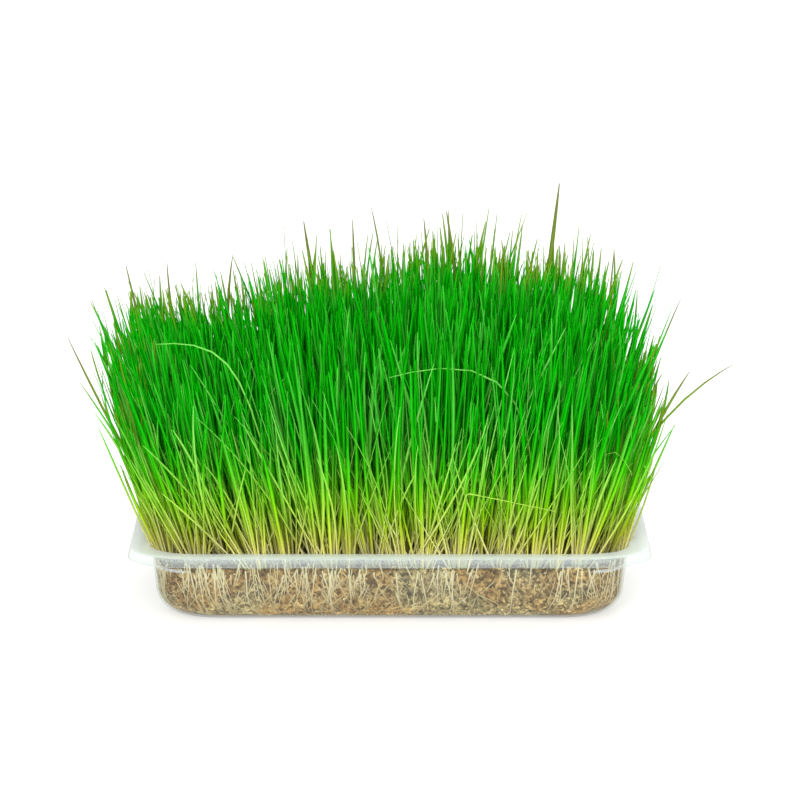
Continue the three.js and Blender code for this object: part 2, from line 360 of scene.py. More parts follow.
def trayRing(inset, z):
    shares = np.arange(tray["around"]) / tray["around"]
    ring = ringPlaces(shares, inset, z)
    way = ringFrame(shares)[1]
    inCorner = (2 * way[:, 0] * way[:, 1]) ** 2
    above = np.clip((z - shoulderLow) / tray["shoulderRise"], 0, 1)
    offFlange = np.clip((inset - tray["flange"] / 2) / tray["shoulderStart"], 0, 1)
    ring[:, :2] += way * (tray["shoulder"] * inCorner * above * offFlange)[:, None]
    return ring


def makeTray():
    wall = tray["wall"]
    lipInset = tray["lipFlare"] + wall
    underFlange = rimHeight - wall
    outerCentre = (tray["lipFlare"] + tray["outerRound"], rimHeight - tray["outerRound"])
    innerCentre = (tray["flange"] + wall - tray["innerRound"], rimHeight - tray["innerRound"])
    onShoulder = np.linspace(shoulderLow, shoulderTop, tray["shoulderSteps"])
    margin = tray["shoulderMargin"]
    around = [shoulderLow - margin, *onShoulder, shoulderTop + margin]
    levels = [*tray["lowLevels"], *around, *tray["highLevels"]]
    profile = [
        *bendArc(0, tray["bendSteps"]),
        *[(wallInset(z), z) for z in levels],
        (tray["flange"], underFlange),
        (lipInset + tray["underRound"], underFlange),
        (lipInset, underFlange - tray["underRound"]),
        (wall, lipEnd + tray["lipEdge"]),
        (wall - tray["lipEdge"], lipEnd),
        (tray["lipEdge"], lipEnd),
        (0.0, lipEnd + tray["lipEdge"]),
        *arc(outerCentre, tray["outerRound"], 180, 90, tray["outerSteps"]),
        *arc(innerCentre, tray["innerRound"], 90, 0, tray["innerSteps"]),
        *[(wallInset(z) + wall, z) for z in levels[::-1]],
        *bendArc(wall, tray["bendSteps"])[::-1],
    ]
    rings = [trayRing(inset, z) for inset, z in profile]
    faces = skinFaces(len(rings), len(rings[0]))
    return makePiece("clearTray", np.concatenate(rings), faces, trayFinish(), ["tray"])


makeTray()
print("tray made")


# Soil: a crumbly body against the tray's inside

soil = {
    "gap": 0.2,  # between the soil and the tray
    "edge": 28.2,
    "crown": 1.6,
    "crownEnd": 4.0,  # half the width of the flat that is left along its middle
    "pits": 0.8,  # how deep its sides are broken up
    "lumps": 1.3,  # and how high the lumps of its top are
    "grain": 2.6,  # size of what breaks it up
    "bendSteps": 8,
    "wallSteps": 8,
    "topSteps": 26,
    "around": 440,
    "tones": {0.25: "382510", 0.4: "604422", 0.52: "846238", 0.66: "a4824e", 0.8: "c6ab7a"},
    "crumbScale": 640.0,
    "crumbShare": 0.4,  # of the tone
    "fineScale": 900.0,
    "fineShare": 0.3,
    "broadScale": 90.0,
    "broadShare": 0.3,
    "areaScale": 34.0,
    "grey": "9a9270",  # of its greyer areas
    "greyShare": 0.5,
    "greyAreas": (0.46, 0.62),
    "red": "94683f",  # and of its redder ones
    "redShare": 0.1,
    "redAreas": (0.48, 0.62),
    "clodScale": 150.0,
    "clodValue": (0.4, 1.2),  # of the darkest clods, and how much more the lightest have
    "paintedLightHeights": (1.0, 14.0),  # painted light: it is paler towards the bottom, where the bend faces down into shade
    "pale": 0.8,
    "topShadeHeights": (0.8, 2.0),  # over its edge, where its top is painted darker, as shade under the grass
    "topShade": 0.6,
    "roughness": 0.9,
    "bump": 0.6,
    "bumpDepth": 0.6,
    "seed": 11,
}


def soilRings():
    shares = np.arange(soil["around"]) / soil["around"]
    skin = tray["wall"] + soil["gap"]
    upright = np.linspace(tray["bend"], soil["edge"], soil["wallSteps"])[1:]
    below = bendArc(skin, soil["bendSteps"]) + [(wallInset(z) + skin, z) for z in upright]
    edge = below[-1][0]
    middle = rimHalf[1] - soil["crownEnd"]
    inward = np.linspace(0, 1, soil["topSteps"])[1:]
    top = [(edge + (middle - edge) * s, soil["edge"] + soil["crown"] * math.sqrt(s)) for s in inward]
    return np.array([ringPlaces(shares, inset, z) for inset, z in below + top]), len(below)


def surfaceWays(rings):  # outward direction at each point
    up = np.gradient(rings, axis=0)
    on = np.roll(rings, -1, 1) - np.roll(rings, 1, 1)
    return unit(np.cross(on, up))


def broken(points, size):  # fractal noise at each point
    return np.array([noise.fractal(Vector(p) / size, 1.0, 2.0, 3) for p in points])


def patchy(finish, place, shade):  # greyer areas and redder ones, and lighter and darker clods
    areas = finish.noise(place, soil["areaScale"], 1.5, "Color")
    parts = finish.node("SeparateColor", {}, {"Color": areas})
    greyer = soil["greyShare"] * parts.between(*soil["greyAreas"])
    redder = soil["redShare"] * parts.out("Green").between(*soil["redAreas"])
    shade = finish.mix(greyer, shade, colour(soil["grey"]), "COLOR")
    shade = finish.mix(redder, shade, colour(soil["red"]), "COLOR")
    dark, more = soil["clodValue"]
    clods = dark + more * finish.noise(place, soil["clodScale"], 1.0)
    return finish.node("HueSaturation", {}, {"Value": clods, "Color": shade})


def bySoilHeight(finish, place, shade):
    height = finish.node("SeparateXYZ", {}, {"Vector": place}, output="Z")
    paintedLightFrom, paintedLightTo = soil["paintedLightHeights"]
    shadeFrom, shadeTo = soil["topShadeHeights"]
    # painted light: paler towards the bottom, where the bend faces down into shade
    low = 1 - height.between(paintedLightFrom * mm, paintedLightTo * mm)
    # painted shade: the top over its edge is made darker under the grass
    top = height.between((soil["edge"] + shadeFrom) * mm, (soil["edge"] + shadeTo) * mm)
    value = 1 + soil["pale"] * low - soil["topShade"] * top
    return finish.node("HueSaturation", {}, {"Value": value, "Color": shade})


def soilFinish():
    earth = Finish("moistSoil")
    place = earth.node("TexCoord", output="Object")
    cells = {"Vector": place, "Scale": soil["crumbScale"]}
    crumbColours = earth.node("TexVoronoi", {}, cells, output="Color")
    crumbTone = earth.node("SeparateColor", {}, {"Color": crumbColours})
    fine = earth.noise(place, soil["fineScale"], 4.0)
    broad = earth.noise(place, soil["broadScale"], 2.0)
    tone = soil["crumbShare"] * crumbTone + soil["fineShare"] * fine + soil["broadShare"] * broad
    shade = earth.ramp(soil["tones"], tone)
    shade = bySoilHeight(earth, place, patchy(earth, place, shade))
    depth = {"Strength": soil["bump"], "Distance": soil["bumpDepth"] * mm}
    bump = earth.node("Bump", {}, {**depth, "Height": fine})
    matte = {"Roughness": soil["roughness"], "Normal": bump}
    earth.show(earth.node("BsdfPrincipled", {}, {"Base Color": shade, **matte}))
    return earth


def makeSoil(rings, wallRings):
    ways = surfaceWays(rings)
    rough = broken(rings.reshape(-1, 3), soil["grain"]).reshape(rings.shape[:2])
    onWall = np.arange(len(rings))[:, None] < wallRings
    depth = np.where(onWall, -np.abs(rough) * soil["pits"], rough * soil["lumps"])
    points = (rings + ways * depth[:, :, None]).reshape(-1, 3)
    return makePiece("growingMix", points, skinFaces(*rings.shape[:2]), soilFinish(), ["soil"])


# Crumbs and seed husks, strewn over the soil's sides and top

crumbs = {
    "wallCount": 9600,
    "topCount": 3000,
    "size": (0.25, 1.05),
    "fines": 2.2,  # higher makes more of them small
    "least": (0.8, 0.6, 0.4),  # length, width and height, as shares of the size
    "most": (1.5, 1.1, 0.75),
    "dents": (0.75, 1.2),
    "tilt": 0.2,
    "wallSink": 0.8,  # share of their height by which they lie deeper than the surface
    "topSink": 0.1,
    "tones": {0.0: "48331a", 0.25: "684b28", 0.48: "8a693c", 0.68: "a88856",
              0.85: "c2a87c", 0.93: "d8c6a2", 0.97: "b4905c"},
    "spots": "553d20",
}
husks = {
    "count": 80,
    "size": (2.7, 1.35, 1.2),
    "spread": (0.8, 1.15),
    "grooveDepth": 0.3,  # of the groove along a wheat grain
    "grooveWidth": 0.22,
    "tilt": 0.15,
    "wallSink": 0.95,
    "topSink": -0.5,
    "topRings": 6,  # rings of the soil's top, from the wall in, that they lie on
    "tones": {0.0: "a6854f", 0.5: "c2a470", 1.0: "d8c294"},
    "spots": "86683e",
}
speckle = {  # what both share
    "scale": 1500.0,
    "range": (0.4, 0.66),
    "bump": 0.4,
    "bumpDepth": 0.3,
    "roughness": 0.8,
}


def scatter(rings, count, rng):  # places and outward directions, even by area over rings of points
    a, b = rings[:-1], np.roll(rings, -1, 1)[:-1]
    c, d = rings[1:], np.roll(rings, -1, 1)[1:]
    areas = np.linalg.norm(np.cross(b - a, c - a), axis=2).ravel()
    cells = rng.choice(areas.size, count, p=areas / areas.sum())
    across, up = rng.random((2, count, 1))
    corners = [g.reshape(-1, 3)[cells] for g in (a, b, c, d)]
    low = corners[0] + (corners[1] - corners[0]) * across
    high = corners[2] + (corners[3] - corners[2]) * across
    return low + (high - low) * up, unit(np.cross(corners[1] - corners[0], corners[2] - corners[0]))


def roundShape(subdivisions):
    ball = bmesh.new()
    bmesh.ops.create_icosphere(ball, subdivisions=subdivisions, radius=1.0)
    ball.verts.index_update()
    points = np.array([v.co for v in ball.verts])
    faces = np.array([[v.index for v in f.verts] for f in ball.faces])
    ball.free()
    return points, faces


def squareMap(count, faceCount):  # each solid of a piece in its own square of the picture
    side = math.ceil(math.sqrt(count))
    cells = np.stack(np.divmod(np.arange(count), side), 1)[:, ::-1]
    low, high = picture["margin"], 1 - picture["margin"]
    spread = np.array([[low, low], [high, low], [0.5, high]])
    return (cells[:, None, None, :] + np.tile(spread, (faceCount, 1, 1))[None]) / side


def crumbFinish(name, kind):
    loose = Finish(name)
    place = loose.node("TexCoord", output="Object")
    fine = loose.noise(place, speckle["scale"], 3.0)
    shade = patchy(loose, place, loose.ramp(kind["tones"], loose.value("tone")))
    shade = loose.mix(fine.between(*speckle["range"]), shade, colour(kind["spots"]))
    # the same painted light towards the bottom and painted shade on the top as the soil has
    shade = bySoilHeight(loose, place, shade)
    depth = {"Strength": speckle["bump"], "Distance": speckle["bumpDepth"] * mm}
    bump = loose.node("Bump", {}, {**depth, "Height": fine})
    matte = {"Roughness": speckle["roughness"], "Normal": bump}
    loose.show(loose.node("BsdfPrincipled", {}, {"Base Color": shade, **matte}))
    return loose


def lieOn(ways, tilt, rng):  # axes for solids that lie on a surface, turned at random
    along = unit(np.cross(ways, rng.normal(size=ways.shape)))
    up = ways + tilt * rng.normal(size=ways.shape)
    up = unit(up - along * (up * along).sum(1, keepdims=True))
    return np.stack([along, np.cross(up, along), up], 1)


def makeSolids(name, shapes, faces, places, axes, finish, rng, smooth):
    count, size = shapes.shape[:2]
    points = places[:, None] + np.einsum("nij,njk->nik", shapes, axes)
    allFaces = (faces[None] + size * np.arange(count)[:, None, None]).reshape(-1, 3).tolist()
    piece = makePiece(name, points.reshape(-1, 3), allFaces, finish, smooth=smooth)
    holdValues(piece, "tone", np.repeat(rng.random(count), size))
    holdMap(piece, squareMap(count, len(faces)))
    return piece


def makeCrumbs(name, places, ways, sink, finish, rng):
    count = len(places)
    low, high = crumbs["size"]
    sizes = low + (high - low) * rng.random((count, 1)) ** crumbs["fines"]
    sizes = sizes * rng.uniform(crumbs["least"], crumbs["most"], (count, 3))
    ball, faces = roundShape(1)
    shapes = ball[None] * sizes[:, None] * rng.uniform(*crumbs["dents"], (count, len(ball), 1))
    places = places - ways * sizes[:, 2:] * sink
    return makeSolids(name, shapes, faces, places, lieOn(ways, crumbs["tilt"], rng), finish, rng, False)


def makeHusks(name, places, ways, sink, finish, rng):
    ball, faces = roundShape(2)
    crease = husks["grooveDepth"] * np.exp(-(ball[:, 1] / husks["grooveWidth"]) ** 2)
    crease = crease * np.clip(ball[:, 2], 0, 1)
    grain = ball - np.stack([0 * crease, 0 * crease, crease], 1)
    shapes = grain[None] * np.array(husks["size"]) * rng.uniform(*husks["spread"], (len(places), 1, 3))
    places = places - ways * husks["size"][2] * sink
    return makeSolids(name, shapes, faces, places, lieOn(ways, husks["tilt"], rng), finish, rng, True)


# Roots and stems that grew down between the soil and the tray

paleRoots = {
    "count": 520,
    "clumps": 150,
    "clumpSpread": 4.5,
    "top": (25.0, 32.0),
    "length": (4.0, 27.0),
    "width": (0.4, 1.3),
    "lean": 0.16,
    "curl": 1.4,
    "tones": {0.0: "d6d0b2", 0.3: "cabfa2", 1.0: "aea084"},
    "seed": 17,
}
rootWeb = {
    "count": 420,
    "clumps": 220,
    "clumpSpread": 9.0,
    "top": (12.0, 29.0),
    "length": (8.0, 32.0),
    "width": (0.25, 0.6),
    "lean": 0.8,
    "curl": 3.0,
    "tones": {0.0: "c2b794", 0.3: "b6a986", 1.0: "a19370"},
    "seed": 19,
}
anyRoot = {  # what both kinds of root share
    "steps": 9,
    "sides": 6,
    "gap": 0.05,  # between a root and the tray
    "lowest": 2.0,
    "taper": 0.6,
    "waves": (1, 5),
    "shorter": 1.5,  # higher makes more of them short
    "stain": "c3a677",
    "stainShare": 0.4,
    "dirt": "a98f62",
    "dirtShare": 0.35,
    "dirtScale": 700.0,
    "roughness": 0.6,
}


def makeLofts(name, sections, values, finish, replaces=()):  # closed strands, each a row of sections
    count, steps, sides = sections.shape[:3]
    ring = np.arange(sides)
    after = (ring + 1) % sides
    rows = sides * np.arange(steps - 1)[:, None]
    corners = [rows + ring, rows + after, rows + sides + after, rows + sides + ring]
    quads = np.stack(corners, 2).reshape(-1, 4)
    caps = np.stack([ring[::-1], sides * (steps - 1) + ring])
    starts = steps * sides * np.arange(count)[:, None, None]
    faces = (quads + starts).reshape(-1, 4).tolist() + (caps + starts).reshape(-1, sides).tolist()
    piece = makePiece(name, sections.reshape(-1, 3), faces, finish, replaces)
    for held, numbers in values.items():
        holdValues(piece, held, np.broadcast_to(numbers, (count, steps, sides)))
    # each strand has an upright strip of the picture, its front and back on the same place
    angles = 2 * math.pi * ring / sides
    wide = 0.5 + (0.5 - picture["margin"]) * np.sin(angles)
    tall = np.arange(steps) / (steps - 1)
    spots = np.stack(np.broadcast_arrays(wide, tall[:, None]), 2).reshape(-1, 2)
    ends = np.stack([wide, picture["capHeight"] * np.cos(angles)], 1)
    capSpots = np.stack([ends[::-1] + [0, picture["lowCap"]], ends + [0, picture["highCap"]]])
    across = np.stack([np.arange(count), np.zeros(count)], 1)[:, None, None]
    stretch = np.array([1 / count, 1])
    quadMap = (spots[quads][None] + across) * stretch
    capMap = (capSpots[None] + across) * stretch
    holdMap(piece, np.concatenate([quadMap.reshape(-1, 2), capMap.reshape(-1, 2)]))
    return piece


def rootFinish(name, tones):
    pale = Finish(name)
    along = pale.value("growth")
    tone = pale.value("tone")
    place = pale.node("TexCoord", output="Object")
    fine = pale.noise(place, anyRoot["dirtScale"], 2.0)
    shade = pale.mix(anyRoot["stainShare"] * tone, pale.ramp(tones, along), colour(anyRoot["stain"]))
    shade = pale.mix(anyRoot["dirtShare"] * fine, shade, colour(anyRoot["dirt"]))
    pale.show(pale.node("BsdfPrincipled", {}, {"Base Color": shade, "Roughness": anyRoot["roughness"]}))
    return pale


def makeRoots(name, roots):
    rng = np.random.default_rng(roots["seed"])
    count = roots["count"]
    t = np.linspace(0, 1, anyRoot["steps"])[None]
    start = rng.choice(rng.random(roots["clumps"]), (count, 1))
    start = start + roots["clumpSpread"] / roundLength * rng.normal(size=(count, 1))
    lengths = roots["length"]
    length = lengths[0] + np.diff(lengths) * rng.random((count, 1)) ** anyRoot["shorter"]
    top = rng.uniform(*roots["top"], (count, 1))
    aside = roots["lean"] * length * t * rng.normal(size=(count, 1))
    swing = roots["curl"] * np.sin(t * rng.uniform(*anyRoot["waves"], (count, 1)))
    aside = aside + swing * rng.normal(size=(count, 1)) * t
    z = np.maximum(top - length * t, anyRoot["lowest"])
    radius = rng.uniform(*roots["width"], (count, 1)) / 2 * (1 - anyRoot["taper"] * t)
    shares = start + aside / roundLength
    line = ringPlaces(shares, insideInset(z, tray["wall"] + anyRoot["gap"] + radius), z)
    out = np.concatenate([ringFrame(shares)[1], np.zeros(z.shape + (1,))], -1)
    way = unit(np.gradient(line, axis=1))
    side = unit(np.cross(way, out))
    front = np.cross(side, way)
    angles = 2 * math.pi * np.arange(anyRoot["sides"]) / anyRoot["sides"]
    spread = side[:, :, None] * np.cos(angles)[:, None] + front[:, :, None] * np.sin(angles)[:, None]
    sections = line[:, :, None] + spread * radius[:, :, None, None]
    values = {"growth": t[:, :, None], "tone": rng.random((count, 1, 1))}
    return makeLofts(name, sections, values, rootFinish(name, roots["tones"]))


def makeGround():
    rings, wallRings = soilRings()
    rng = np.random.default_rng(soil["seed"])
    makeSoil(rings, wallRings)
    wallSide = rings[:wallRings]
    topSide = rings[wallRings - 1:]
    topEdge = topSide[:husks["topRings"]]
    loose = crumbFinish("looseCrumbs", crumbs)
    seeds = crumbFinish("seedHusks", husks)
    makeCrumbs("wallCrumbs", *scatter(wallSide, crumbs["wallCount"], rng), crumbs["wallSink"], loose, rng)
    makeCrumbs("topCrumbs", *scatter(topSide, crumbs["topCount"], rng), crumbs["topSink"], loose, rng)
    makeHusks("wallHusks", *scatter(wallSide, husks["count"], rng), husks["wallSink"], seeds, rng)
    makeHusks("topHusks", *scatter(topEdge, husks["count"], rng), husks["topSink"], seeds, rng)
    makeRoots("paleRoots", paleRoots)
    makeRoots("rootWeb", rootWeb)


makeGround()
print("soil made")


# Grass: the CAD bunches, each a patch of slim plants that fan out from the middle of the tray

grass = {
    "columns": 6,
    "rows": 4,
    "columnPitch": 40.0,
    "rowPitch": 39.0,
    "wallMargin": 1.6,  # from the tray's inside to the outermost plants
    "uneven": 0.45,  # how far plants stand off an even grid, in spacings
    "rootDepth": 5.0,
    # heights over the soil, from end to end of the tray
    "skyline": {-1.0: 99, -0.85: 118, -0.6: 118, -0.46: 116, -0.36: 131, -0.3: 138, -0.2: 130, 0.0: 136,
                0.27: 147, 0.5: 134, 0.67: 137, 0.76: 128, 0.86: 106, 1.0: 78},
    "frontDrop": 30.0,  # how much shorter the front plants are than the middle ones
    "backDrop": 8.0,
    "fanAlong": 0.25,
    "fanAcross": 0.22,
    "leanLeft": 0.035,
    "shortFan": 1.2,  # how much more short plants fan out than tall ones
    "fanRange": (0.5, 1.4),
    "flare": (0.28, 0.245),  # of the mass's outline over the tray's left and right ends
    "clump": 10.0,  # how far apart the knots of seed are that stems come up from
    "gather": 0.55,
    "clumpFan": 0.12,
    "ends": (96.0, 116.0),  # from the middle, where the tray's ends begin and are in full
    "thinEnds": 0.42,
    "tuft": 13.0,  # size of the patches that grow taller or lean together
    "tuftRise": 0.07,
    "tuftLean": 0.05,
    "proud": 4.0,  # how far blades may reach past the CAD ones
    "dryTips": 0.17,  # share of a tall plant that has dried
    "dryGain": (0.97, 1.07),  # how tall it is for that
    "dryRows": (-0.4, 0.1),  # and how far back
    "dryEnds": 0.5,  # share of a plant at the tray's ends that may have dried
    "thickness": 0.35,
    "tipThinning": 0.3,
    "sheathEnd": 0.34,  # where a round stem has become a flat blade
    "opening": (0.08, 0.43),  # where it widens into the blade
    "taperFrom": 0.6,
    "taper": 0.8,
    "fold": 0.16,
    "twist": 0.9,
    # places along a blade, from foot to tip
    "stations": np.array([0, 0.06, 0.13, 0.22, 0.34, 0.47, 0.6, 0.73, 0.85, 0.94, 1]),
    "greenHeight": 120.0,  # over the soil, where the colour has run from cream to deep green
    "inner": (8.0, 28.0),  # from the tray's edge, where plants are green nearer to the soil
    "innerGreen": 0.16,
    "innerStart": 0.1,
    "endsPale": 0.1,
    "sheltered": (5.0, 15.0),  # from the tray's edge, where the feet are in the shade
    "shelterHeights": (0.024, 0.264),  # shares of the green height
    "deep": {0.0: "f8eec6", 0.05: "f2ec90", 0.09: "e6e662", 0.13: "d6e444", 0.19: "b9e026", 0.26: "9cde16",
             0.33: "7ada0c", 0.42: "4cd208", 0.51: "24c404", 0.6: "0cc002", 0.7: "02be02", 1.0: "02bc02"},
    "light": {0.0: "f6ecd2", 0.12: "e8e096", 0.28: "c6e25c", 0.45: "a2e45a", 0.7: "84d866", 1.0: "74d262"},
    "odd": 0.5,  # how light the lightest of the deep green blades are
    "oddRarity": 6,
    "drying": 0.12,
    "browning": (0.3, 0.8),
    "olive": "86b02e",
    "brown": "82784a",
    "shade": "4a3c04",
    "shadeShare": 0.68,
    "veins": 22.0,
    "streakScale": (900.0, 900.0, 70.0),
    "value": 0.76,
    "toneValue": 0.12,
    "veinValue": 0.05,
    "streakValue": 0.22,
    "roughness": 0.5,
    "specular": 0.02,
    "glowShare": 0.5,
    "footGlow": "f0ea9c",
    "glow": ((0.02, 0.16, "cde03a"), (0.14, 0.34, "7ed60e"), (0.3, 0.58, "06bb02")),
    "paleGlow": (0.05, 0.3, "9cdc5c"),
    "dryGlow": "84a838",
    "seed": 29,
    "tuftSeed": 5,
}
wholeSoil = 200.0  # a band as wide as this is all of the soil
soilTop = soil["edge"] + soil["crown"]


def grassFinish():
    leaf = Finish("wheatgrass")
    growth = leaf.value("growth")
    tone = leaf.value("tone")
    toTip = leaf.value("toTip")
    dryFrom = leaf.value("dryFrom")
    paler = leaf.value("pale") + grass["odd"] * tone ** grass["oddRarity"]
    dried = toTip.between(dryFrom, dryFrom + grass["drying"])
    sheltered = grass["shadeShare"] * leaf.value("shelter")
    shade = leaf.mix(paler, leaf.ramp(grass["deep"], growth), leaf.ramp(grass["light"], growth))
    brownFrom, brownTo = grass["browning"]
    browned = toTip.between(dryFrom + brownFrom, dryFrom + brownTo)
    shade = leaf.mix(dried, shade, leaf.mix(browned, colour(grass["olive"]), colour(grass["brown"])))
    shade = leaf.mix(sheltered, shade, colour(grass["shade"]))
    veins = 0.5 + 0.5 * (leaf.value("across") * grass["veins"]).sine()
    place = leaf.node("TexCoord", output="Object")
    along = leaf.node("VectorMath", {"operation": "MULTIPLY"}, {0: place, 1: grass["streakScale"]})
    streaks = leaf.noise(along, 1.0, 1.0)
    value = grass["value"] + grass["toneValue"] * tone + grass["veinValue"] * veins
    value = value + grass["streakValue"] * streaks
    shade = leaf.node("HueSaturation", {}, {"Value": value, "Color": shade})
    sheen = {"Roughness": grass["roughness"], "Specular IOR Level": grass["specular"]}
    face = leaf.node("BsdfPrincipled", {}, {"Base Color": shade, **sheen})
    # the light that comes through a leaf, in a few plain colours that its growth and state choose between
    layers = [(growth.between(low, high), code) for low, high, code in grass["glow"]]
    low, high, code = grass["paleGlow"]
    layers.append((paler * growth.between(low, high), code))
    layers.append((dried, grass["dryGlow"]))
    layers.append((sheltered, grass["shade"]))
    glow = leaf.through(grass["footGlow"])
    for chosen, code in layers:
        glow = leaf.node("MixShader", {}, {0: chosen, 1: glow, 2: leaf.through(code)})
    leaf.show(leaf.node("MixShader", {}, {0: grass["glowShare"], 1: face, 2: glow}))
    return leaf


def plantFeet(spacing, band, rng):  # an uneven grid over the soil, or over a band along its edge
    inset = wallInset(soil["edge"]) + tray["wall"] + grass["wallMargin"]
    corner = cornerAt(inset)
    half = rimHalf - inset
    counts = np.round(2 * half / spacing).astype(int)
    x, y = np.meshgrid(*[np.linspace(-h, h, n) for h, n in zip(half, counts)])
    places = np.column_stack([x.ravel(), y.ravel()])
    places += spacing * grass["uneven"] * rng.uniform(-1, 1, places.shape)
    places = np.clip(places, -half, half)
    beyond = np.maximum(np.abs(places) - (half - corner), 0)
    onSoil = np.hypot(*beyond.T) < corner
    nearEdge = (half - np.abs(places)).min(1) < band
    return places[onSoil & nearEdge]


def atEnds(places):
    return ramped(np.abs(places[:, 0]), *grass["ends"])


noneOf = (0, 1, 1)
# Kinds of blade. Heights and bends are shares of the height around them, leans shares of their own.
# Short and tall: how many of them are, from which height to which. Lead: how soon they lean over.
# Stray: how far they may pass the outline over the tray's ends. Band: along the soil's edge.
broadBlades = {
    "spacing": 3.25,
    "band": wholeSoil,
    "height": (0.92, 1.06),
    "short": (0.14, 0.55, 0.9),
    "tall": (0.07, 1.06, 1.16),
    "tip": (1, 1),
    "bend": (0.42, 0.58),
    "bendAside": 0.05,
    "lead": 1.2,
    "lean": 0.07,
    "stray": (0.65, 1.35),
    "stem": (1.0, 1.5),
    "width": (1.5, 2.5),
    "pale": (0.0, 0.05),
}
slimShoots = {
    "spacing": 4.8,
    "band": wholeSoil,
    "height": (0.4, 0.97),
    "short": noneOf,
    "tall": noneOf,
    "tip": (1, 1),
    "bend": (0.42, 0.62),
    "bendAside": 0.06,
    "lead": 1.15,
    "lean": 0.18,
    "stray": (0.65, 1.5),
    "stem": (0.8, 1.2),
    "width": (0.8, 1.4),
    "pale": (0.2, 0.9),
}
edgeShoots = {
    "spacing": 3.0,
    "band": 9.0,
    "height": (0.3, 0.85),
    "short": noneOf,
    "tall": noneOf,
    "tip": (1, 1),
    "bend": (0.4, 0.7),
    "bendAside": 0.07,
    "lead": 1.0,
    "lean": 0.28,
    "stray": (0.7, 1.5),
    "stem": (0.8, 1.3),
    "width": (0.8, 1.4),
    "pale": (0.4, 1.0),
}
droopingShoots = {
    "spacing": 30.0,
    "band": wholeSoil,
    "height": (0.35, 0.85),
    "short": noneOf,
    "tall": noneOf,
    "tip": (0.7, 0.95),
    "bend": (1.1, 1.4),
    "bendAside": 0.05,
    "lead": 0.2,
    "lean": 0.3,
    "stray": (0.8, 1.5),
    "stem": (0.8, 1.1),
    "width": (0.8, 1.2),
    "pale": (0.7, 1.0),
}


def growBlades(kind, clumps, rng):
    places = plantFeet(kind["spacing"], kind["band"], rng)
    places = places[rng.random(len(places)) > grass["thinEnds"] * atEnds(places)]
    count = len(places)
    nearest = clumps[np.linalg.norm(places[:, None] - clumps, axis=2).argmin(1)]
    outward = (places - nearest) / (grass["clump"] / 2)
    places = places + (nearest - places) * grass["gather"]
    spread = 2 * places / [grass["columns"] * grass["columnPitch"], grass["rows"] * grass["rowPitch"]]
    # heights
    drop = np.where(spread[:, 1] < 0, grass["frontDrop"], grass["backDrop"]) * spread[:, 1] ** 2
    gain = rng.uniform(*kind["height"], count)
    for share, low, high in (kind["short"], kind["tall"]):
        gain = np.where(rng.random(count) < share, rng.uniform(low, high, count), gain)
    tufts = np.array([noise.noise_vector(Vector((x, y, 0)) / grass["tuft"]) for x, y in places])
    gain = gain * (1 + grass["tuftRise"] * tufts[:, 2])
    skyline = np.interp(spread[:, 0], list(grass["skyline"]), list(grass["skyline"].values()))
    height = (skyline - drop) * gain
    # how far each leans, within the outline over the tray's ends
    fan = spread * [grass["fanAlong"], grass["fanAcross"]] - [grass["leanLeft"], 0]
    fan = fan + grass["tuftLean"] * tufts[:, :2] + grass["clumpFan"] * outward
    fan = fan * np.clip(1 + grass["shortFan"] * (1 - gain), *grass["fanRange"])[:, None]
    lean = (fan + kind["lean"] * rng.normal(size=(count, 2))) * height[:, None]
    end = rimHalf[0] - wallInset(soil["edge"]) - tray["wall"]
    leftFlare, rightFlare = grass["flare"]
    flare = height * rng.uniform(*kind["stray"], count)
    leftmost = -end - leftFlare * flare - places[:, 0]
    rightmost = end + rightFlare * flare - places[:, 0]
    lean[:, 0] = np.clip(lean[:, 0], leftmost, rightmost)
    bendShare = rng.uniform(*kind["bend"], count)
    bendAside = lean * (kind["lead"] * np.minimum(bendShare, 1))[:, None]
    bendAside = bendAside + height[:, None] * kind["bendAside"] * rng.normal(size=(count, 2))
    tipShare = rng.uniform(*kind["tip"], count)
    foot = np.column_stack([places, np.full(count, soilTop - grass["rootDepth"])])
    bend = np.column_stack([places + bendAside, soilTop + height * bendShare])
    tip = np.column_stack([places + lean, soilTop + height * tipShare])
    low, high = (np.array(corner) / mm for corner in cadBox)
    bend, tip = (np.clip(place, low - grass["proud"], high + grass["proud"]) for place in (bend, tip))
    # the tips of tall plants behind and of those at the tray's ends have dried
    tall = grass["dryTips"] * ramped(gain, *grass["dryGain"]) * ramped(spread[:, 1], *grass["dryRows"])
    sere = grass["dryEnds"] * atEnds(places) * rng.random(count) ** 2
    return {
        "foot": foot,
        "bend": bend,
        "tip": tip,
        "stem": rng.uniform(*kind["stem"], count),
        "width": rng.uniform(*kind["width"], count),
        "pale": rng.uniform(*kind["pale"], count),
        "dryFrom": 1 - np.maximum(tall, sere),
        "sharp": np.ones(count),
        "young": np.ones(count),
        "thickness": np.full(count, grass["thickness"]),
        "facing": np.zeros(count),
    }


